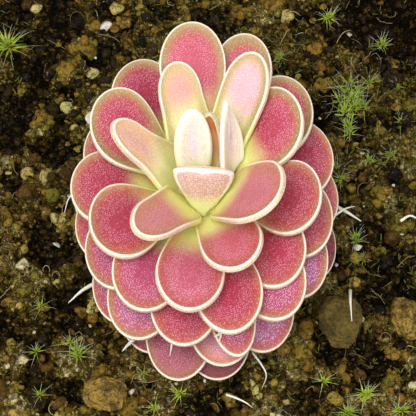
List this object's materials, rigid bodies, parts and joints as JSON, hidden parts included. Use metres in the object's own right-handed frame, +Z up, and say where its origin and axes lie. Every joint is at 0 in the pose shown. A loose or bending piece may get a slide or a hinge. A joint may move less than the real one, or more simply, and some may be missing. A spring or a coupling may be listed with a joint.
{
  "type": "potted butterwort",
  "caption": "Small carnivorous house plant: a tight rosette of thick spoon-shaped pink leaves with pale rims, on gritty peat in a plain round terracotta pot.",
  "frame": {"origin": "centre of the pot's underside", "axes": "+Z up along the pot's axis, -Y towards the viewer, +X to the viewer's right"},
  "size_m": [0.1168, 0.1168, 0.1131],
  "materials": {
    "young_leaf": "smooth, pale cream leaf with a fine glandular speckle",
    "grown_leaf": "succulent pink leaf with fine shining glands and a pale rim",
    "old_leaf": "darker crimson leaf with fine shining glands and a pale rim",
    "crown_green": "smooth yellow-green stem",
    "peat": "damp gritty peat",
    "terracotta": "plain unglazed terracotta",
    "ochre_stone": "rough ochre stone"
  },
  "bodies": {
    "root": {"central_bud": "young_leaf", "leaf_00": "young_leaf", "leaf_01": "young_leaf", "leaf_02": "young_leaf", "leaf_03": "grown_leaf", "leaf_04": "grown_leaf", "leaf_05": "grown_leaf", "leaf_06": "grown_leaf", "leaf_07": "grown_leaf", "leaf_08": "grown_leaf", "leaf_09": "grown_leaf", "leaf_10": "grown_leaf", "leaf_11": "grown_leaf", "leaf_12": "grown_leaf", "leaf_13": "grown_leaf", "leaf_14": "grown_leaf", "leaf_15": "grown_leaf", "leaf_16": "grown_leaf", "leaf_17": "grown_leaf", "leaf_18": "grown_leaf", "leaf_19": "grown_leaf", "leaf_20": "grown_leaf", "leaf_21": "grown_leaf", "leaf_22": "grown_leaf", "leaf_23": "grown_leaf", "leaf_24": "old_leaf", "leaf_25": "old_leaf", "leaf_26": "old_leaf", "leaf_27": "old_leaf", "leaf_28": "old_leaf", "leaf_29": "old_leaf", "leaf_30": "old_leaf", "leaf_31": "old_leaf", "leaf_32": "old_leaf", "leaf_33": "old_leaf", "leaf_34": "old_leaf", "leaf_35": "old_leaf", "leaf_36": "old_leaf", "leaf_37": "old_leaf", "leaf_38": "old_leaf", "leaf_39": "old_leaf", "leaf_40": "old_leaf", "leaf_41": "old_leaf", "leaf_42": "old_leaf", "leaf_43": "old_leaf", "leaf_44": "old_leaf", "leaf_45": "old_leaf", "leaf_46": "old_leaf", "leaf_47": "old_leaf", "leaf_48": "old_leaf", "leaf_49": "old_leaf", "leaf_50": "old_leaf", "crown": "crown_green", "soil": "peat", "pot": "terracotta", "stone_1": "ochre_stone", "stone_2": "ochre_stone", "stone_3": "ochre_stone"}
  },
  "joints": []
}
